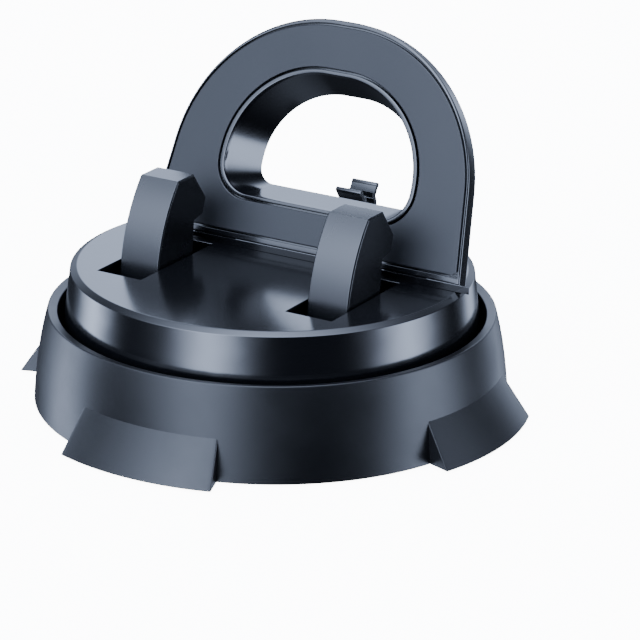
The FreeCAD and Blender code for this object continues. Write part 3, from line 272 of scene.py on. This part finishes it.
SLOTS = {"base_plastic": MATTE, "gloss_black": GLOSS, "satin_black": SATIN, "soft_pad": PAD,
         "grip_rubber": RUBBER, "nylon": NYLON, "steel": STEEL}


# ---------------------------------------------------------------------------------------------
# Mesh building
# ---------------------------------------------------------------------------------------------
def new_piece(name, bm, material):
    """Object made from a bmesh, with smooth faces."""
    mesh = bpy.data.meshes.new(name)
    for face in bm.faces:
        face.smooth = True
    bm.to_mesh(mesh)
    bm.free()
    mesh.materials.append(material)
    piece = bpy.data.objects.new(name, mesh)
    bpy.context.scene.collection.objects.link(piece)
    return piece


def eased(name, node, slot, width):
    """Copy of a CAD node whose convex edges are rounded by width in millimetres."""
    bm = bmesh.new()
    bm.from_mesh(frame["nodes"][node].data)
    bmesh.ops.remove_doubles(bm, verts=bm.verts, dist=WELD)
    weight = bm.edges.layers.float.new("bevel_weight_edge")
    for edge in bm.edges:
        if len(edge.link_faces) != 2 or edge.calc_face_angle(0) < SHARP:
            continue
        if edge.is_convex:
            edge[weight] = 1.0
        else:
            edge.smooth = False
    piece = new_piece(name, bm, SLOTS[slot])
    bevel = piece.modifiers.new("eased_edges", "BEVEL")
    bevel.limit_method = "WEIGHT"
    bevel.width = width * MM
    bevel.segments = EDGE_STEPS
    bevel.use_clamp_overlap = True
    stand_for(weighted(piece), frame["nodes"][node]["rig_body"], slot, node)


def stand_for(piece, body, slot, *nodes):
    """The piece rides on a body and replaces these CAD nodes; slot is not used."""
    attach(piece, body)
    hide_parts(*nodes)


def mark_corners(bm, angle):
    """Shade smooth except across edges that turn more than the angle."""
    for edge in bm.edges:
        edge.smooth = not (len(edge.link_faces) == 2 and edge.calc_face_angle(0) > angle)


def weighted(piece):
    """Flat faces keep their own direction, and narrow roundings take up the turn."""
    normals = piece.modifiers.new("weighted_normals", "WEIGHTED_NORMAL")
    normals.keep_sharp = True
    return piece


def arc(x, y, radius, start, end, count):
    """Points on an arc, both ends included, angles in degrees."""
    turns = (math.radians(start + (end - start) * i / count) for i in range(count + 1))
    return [(x + radius * math.cos(turn), y + radius * math.sin(turn)) for turn in turns]


def line(first, last, count):
    """Points from first up to, but without, last."""
    return [tuple(a + (b - a) * i / count for a, b in zip(first, last)) for i in range(count)]


LEAN_IN = 6.4  # degrees that the plate's sides lean in
BOTTOM_STEPS, SIDE_STEPS, ARCH_STEPS, CROWN_STEPS = 24, 8, 40, 2
SILL_STEPS, CORNER_STEPS, SHOULDER_STEPS = 10, 12, 30


def arch(half_width, low, high, corner, inset=0.0):
    """Plate outline: straight foot, sides that lean in, large upper corners; parallel insets."""
    lean = math.radians(LEAN_IN)
    w = half_width - inset * (1 + math.sin(lean)) / math.cos(lean)
    low, high, r = low + inset, high - inset, corner - inset
    cx = w - (r + (high - r - low) * math.sin(lean)) / math.cos(lean)
    right = arc(cx, high - r, r, LEAN_IN, 90, ARCH_STEPS)
    left = [(-x, y) for x, y in reversed(right)]
    return (line((-w, low), (w, low), BOTTOM_STEPS) + line((w, low), right[0], SIDE_STEPS)
            + right[:-1] + line(right[-1], left[0], CROWN_STEPS)
            + left[:-1] + line(left[-1], (-w, low), SIDE_STEPS))


def porthole(half_width, low, high, lower, upper, inset=0.0):
    """Outline of the plate's opening, with small lower and large upper corners."""
    w, low, high = half_width - inset, low + inset, high - inset
    r, big = lower - inset, upper - inset
    corner = arc(w - r, low + r, r, -90, 0, CORNER_STEPS)
    shoulder = arc(w - big, high - big, big, 0, 90, SHOULDER_STEPS)
    right = corner[:-1] + line(corner[-1], shoulder[0], CROWN_STEPS) + shoulder
    left = [(-x, y) for x, y in reversed(right)]
    return (right[:-1] + line(right[-1], left[0], CROWN_STEPS) + left[:-1]
            + line(left[-1], right[0], SILL_STEPS))


class Loops:
    """Solid whose skin is strung from outlines, each at its own depth."""

    def __init__(self, place):
        self.bm = bmesh.new()
        self.place = place

    def ring(self, outline, depth):
        return [self.bm.verts.new(self.place(x, y, depth)) for x, y in outline]

    def skin(self, rings):
        """Quads between rings of the same number of points."""
        for lower, upper in zip(rings, rings[1:]):
            for i in range(len(lower)):
                j = (i + 1) % len(lower)
                self.bm.faces.new((lower[i], lower[j], upper[j], upper[i]))

    def cap(self, *rings):
        """Flat face between one outline and the holes in it."""
        edges = []
        for ring in rings:
            for i in range(len(ring)):
                pair = (ring[i], ring[(i + 1) % len(ring)])
                edges.append(self.bm.edges.get(pair) or self.bm.edges.new(pair))
        bmesh.ops.triangle_fill(self.bm, use_beauty=True, use_dissolve=False, edges=edges)

    def stand_in(self, name, slot, node):
        """Close the solid, which stands for a node of the plate."""
        bmesh.ops.recalc_face_normals(self.bm, faces=self.bm.faces)
        mark_corners(self.bm, CREASE)
        stand_for(weighted(new_piece(name, self.bm, SLOTS[slot])), "plate", slot, node)


def rounding(radius, steps=4):
    """(inset, drop) pairs of a quarter round, from the side wall up to the face."""
    turns = (math.pi / 2 * i / steps for i in range(steps + 1))
    return [(radius * (1 - math.cos(turn)), radius * (1 - math.sin(turn))) for turn in turns]


def lathe(profile, count, start=0.0, end=FULL_TURN):
    """Solid turned from a closed profile of (radius, height) in millimetres."""
    bm = bmesh.new()
    whole = end - start == FULL_TURN
    steps = count if whole else count + 1
    rings = []
    for i in range(steps):
        turn = math.radians(start + (end - start) * i / count)
        rings.append([bm.verts.new((r * math.cos(turn) * MM, r * math.sin(turn) * MM, z * MM))
                      for r, z in profile])
    pairs = zip(rings, rings[1:] + rings[:1]) if whole else zip(rings, rings[1:])
    for here, there in pairs:
        for i in range(len(profile)):
            j = (i + 1) % len(profile)
            bm.faces.new((here[i], there[i], there[j], here[j]))
    if not whole:
        bm.faces.new(rings[0])
        bm.faces.new(list(reversed(rings[-1])))
    bmesh.ops.recalc_face_normals(bm, faces=bm.faces)
    return bm


def filleted(corners, steps=5):
    """Closed profile with each corner (x, y, radius) rounded."""
    points = []
    for index, (x, y, radius) in enumerate(corners):
        here = Vector((x, y))
        before = Vector(corners[index - 1][:2]) - here
        after = Vector(corners[(index + 1) % len(corners)][:2]) - here
        if radius == 0:
            points.append((x, y))
            continue
        half = before.angle(after) / 2
        reach = radius / math.tan(half)
        first, last = before.normalized() * reach, after.normalized() * reach
        centre = (before.normalized() + after.normalized()).normalized() * (radius / math.sin(half))
        for i in range(steps + 1):
            spoke = (first - centre).lerp(last - centre, i / steps).normalized() * radius
            points.append(tuple(here + centre + spoke))
    return points


def applied(piece):
    """The piece with its modifiers turned into mesh."""
    bpy.context.view_layer.update()
    shape = piece.evaluated_get(bpy.context.evaluated_depsgraph_get())
    mesh = bpy.data.meshes.new_from_object(shape)
    piece.modifiers.clear()
    piece.data = mesh
    return piece


def combined(piece, others, operation):
    """Boolean of piece with the others, which are then gone."""
    for other in others:
        step = piece.modifiers.new(operation.lower(), "BOOLEAN")
        step.operation = operation
        step.solver = "EXACT"
        step.object = other
    applied(piece)
    for other in others:
        bpy.data.objects.remove(other)


# ---------------------------------------------------------------------------------------------
# Pieces
# ---------------------------------------------------------------------------------------------
for name, node in frame["nodes"].items():
    slot = node.data.materials[0].name.split(".")[0]
    node.data.materials.clear()
    node.data.materials.append(SLOTS[slot])

EASED = (  # piece, CAD node, slot, width of the rounded edges
    ("turntable_moulding", "turntable_shell", "gloss_black", 0.12),
    ("left_hook_moulding", "hook_left", "satin_black", 0.25),
    ("right_hook_moulding", "hook_right", "satin_black", 0.25),
    ("rail_moulding", "hinge_rail", "gloss_black", 0.08),
    ("clip_moulding", "cable_clip", "satin_black", 0.08),
)
for name, node, slot, width in EASED:
    eased(name, node, slot, width)

# base: the ring's wall with its inner flange, and four wedge feet with seats for the rubber pads
FEET = 4
RING_STEPS, FOOT_ARC_STEPS, SEAT_ARC_STEPS = 360, 38, 30
FOOT_HALF_ANGLE, SEAT_HALF_ANGLE = 19, 15
FOOT_EDGE, FOOT_EDGE_ANGLE = 0.25, math.radians(30)
# the wall's section is radius, height and rounding of each corner; the others radius and height
WALL = (
    (42.99, 0.4, 0.15), (42.94, 1.6, 0), (42.75, 4.0, 0), (42.5, 6.4, 0), (42.17, 9.0, 0),
    (41.78, 11.4, 0), (41.3, 13.8, 0), (40.78, 16.0, 0), (40.4, 17.4, 0.3), (38.6, 17.0, 0.25),
    (38.6, 6.2, 0), (33.0, 6.2, 0), (33.0, 4.2, 0), (40.0, 4.2, 0), (40.0, 0.4, 0),
)
FOOT = ((41.1, 0.4), (47.5, 0.4), (41.1, 9.85))
PAD_SEAT = ((41.8, 0.0), (46.0, 0.0), (46.0, 1.0), (41.8, 1.0))

base = new_piece("base_moulding", lathe(filleted(WALL), RING_STEPS), MATTE)
wedges, seats = [], []
for index in range(FEET):
    middle = FULL_TURN / FEET * index
    turned = lathe(FOOT, FOOT_ARC_STEPS, middle - FOOT_HALF_ANGLE, middle + FOOT_HALF_ANGLE)
    wedge = new_piece(f"wedge{index}", turned, MATTE)
    ease = wedge.modifiers.new("ease", "BEVEL")
    ease.limit_method, ease.angle_limit = "ANGLE", FOOT_EDGE_ANGLE
    ease.width, ease.segments = FOOT_EDGE * MM, EDGE_STEPS
    wedges.append(applied(wedge))
    turned = lathe(PAD_SEAT, SEAT_ARC_STEPS, middle - SEAT_HALF_ANGLE, middle + SEAT_HALF_ANGLE)
    seats.append(new_piece(f"seat{index}", turned, MATTE))
combined(base, wedges, "UNION")
combined(base, seats, "DIFFERENCE")
joined = bmesh.new()
joined.from_mesh(base.data)
mark_corners(joined, BASE_CREASE)
for face in joined.faces:
    face.smooth = True
joined.to_mesh(base.data)
joined.free()
stand_for(weighted(base), "base", "base_plastic", "base_ring")

# plate: its own directions are X across, Y up along it and Z out of its front face
LEAN = math.radians(21)
PLATE_X, PLATE_Y, PLATE_Z = 3.05, 4.45, 26.76  # middle of the lower edge of its front face


def on_plate(x, y, z):
    """The same point in the part's frame, in metres."""
    return ((x + PLATE_X) * MM, (PLATE_Y + y * math.sin(LEAN) - z * math.cos(LEAN)) * MM,
            (PLATE_Z + y * math.cos(LEAN) + z * math.sin(LEAN)) * MM)


# arches are half width, low, high and corner
PLATE = (32.46, 0.0, 42.37, 29.47)
SEAT = (31.96, 1.1, 41.5, 28.55)
FACE = (31.66, 1.4, 41.2, 28.25)
# portholes are half width, low, high, lower and upper corner; mouth and throat outer, then inner
HOLE = (20.6, 7.3, 33.5, 7.0, 18.5)
MOUTH = ((20.25, 7.65, 33.15, 6.65, 18.15), (19.35, 8.325, 32.385, 5.93, 17.385))
THROAT = ((17.6, 10.075, 30.635, 4.18, 15.635), (16.5, 11.175, 29.535, 3.08, 14.535))
PAD_DEPTH, FRAME_DEPTH, FUNNEL_DEPTH = 0.9, 1.7, 9.0
FRAME_EDGE, LIP_EDGE, PAD_EDGE, MOUTH_EDGE = 0.35, 0.12, 0.25, 0.2
FUNNEL_SHARES = (1.0, 0.6, 0.3, 0.1, 0.04)

solid = Loops(on_plate)
side = [solid.ring(arch(*PLATE), -FRAME_DEPTH)]
side += [solid.ring(arch(*PLATE, inset), -drop) for inset, drop in rounding(FRAME_EDGE)]
lip = [solid.ring(arch(*SEAT, -inset), -drop) for inset, drop in rounding(LIP_EDGE)]
lip.insert(0, solid.ring(arch(*SEAT), -PAD_DEPTH))
rim = [solid.ring(porthole(*HOLE), depth) for depth in (-PAD_DEPTH, -FRAME_DEPTH)]
for rings in (side, lip, rim):
    solid.skin(rings)
solid.cap(side[-1], lip[-1])
solid.cap(lip[0], rim[0])
solid.cap(rim[1], side[0])
solid.stand_in("frame_moulding", "gloss_black", "plate_frame")

solid = Loops(on_plate)
side = [solid.ring(arch(*FACE), -PAD_DEPTH)]
side += [solid.ring(arch(*FACE, inset), -drop) for inset, drop in rounding(PAD_EDGE)]
rim = [solid.ring(porthole(*HOLE), -PAD_DEPTH)]
rim += [solid.ring(porthole(*HOLE, -inset), -drop) for inset, drop in rounding(MOUTH_EDGE)]
for rings in (side, rim):
    solid.skin(rings)
solid.cap(side[-1], rim[-1])
solid.cap(side[0], rim[0])
solid.stand_in("pad_moulding", "soft_pad", "plate_pad")


def funnel(wall, share):
    """Outline of the collar's outer (0) or inner (1) wall, that share of the way to the throat."""
    return [a + (b - a) * share for a, b in zip(MOUTH[wall], THROAT[wall])]


solid = Loops(on_plate)
walls = []
for wall, inward in enumerate((1, -1)):
    rings = [solid.ring(porthole(*funnel(wall, share)), -FUNNEL_DEPTH * share)
             for share in FUNNEL_SHARES]
    rings += [solid.ring(porthole(*MOUTH[wall], inward * inset), -drop)
              for inset, drop in rounding(MOUTH_EDGE)]
    solid.skin(rings)
    walls.append(rings)
solid.skin([rings[-1] for rings in walls])
solid.skin([rings[0] for rings in walls])
solid.stand_in("collar_moulding", "gloss_black", "opening_collar")

# floor: a glowing ground that only the camera sees, so that it doesn't light the object
FLOOR_HALF_WIDTH, FLOOR_HEIGHT = 4.0, -0.00005
ground = bmesh.new()
bmesh.ops.create_grid(ground, x_segments=2, y_segments=2, size=FLOOR_HALF_WIDTH)
floor = new_piece("floor", ground, FLOOR)
floor.location.z = FLOOR_HEIGHT
floor.visible_glossy = False
floor.visible_diffuse = False
